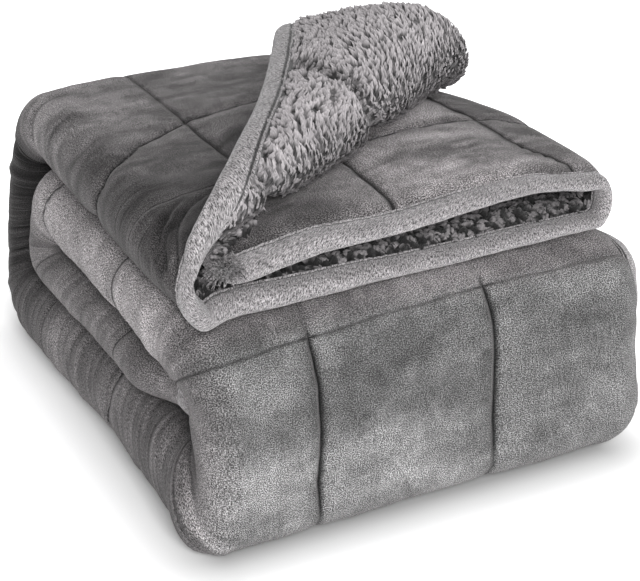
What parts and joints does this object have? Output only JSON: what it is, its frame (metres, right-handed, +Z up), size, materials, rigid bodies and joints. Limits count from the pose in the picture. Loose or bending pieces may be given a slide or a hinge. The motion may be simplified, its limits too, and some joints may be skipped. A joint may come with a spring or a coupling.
{
  "type": "folded weighted blanket",
  "caption": "Quilted velvet weighted blanket with a sherpa back and plush binding, folded into a stack with one corner turned back.",
  "frame": {"origin": "on the surface it rests on, under the middle of its footprint", "axes": "+Z up; +X along the folded strip's width, towards the side where the two upper thirds' mouth ends; -Y is the front, where the top layer's bound edge shows"},
  "size_m": [0.4731, 0.4867, 0.3719],
  "materials": {
    "velvet_face": "short-pile velvet with a soft sheen, quilted in squares",
    "sherpa_pile": "deep clumped pile, matte",
    "plush_binding": "brushed plush tape, matte, stitched near its inner edge"
  },
  "bodies": {
    "root": {"face_panel": "velvet_face", "sherpa_back": "sherpa_pile", "binding": "plush_binding"}
  },
  "joints": []
}
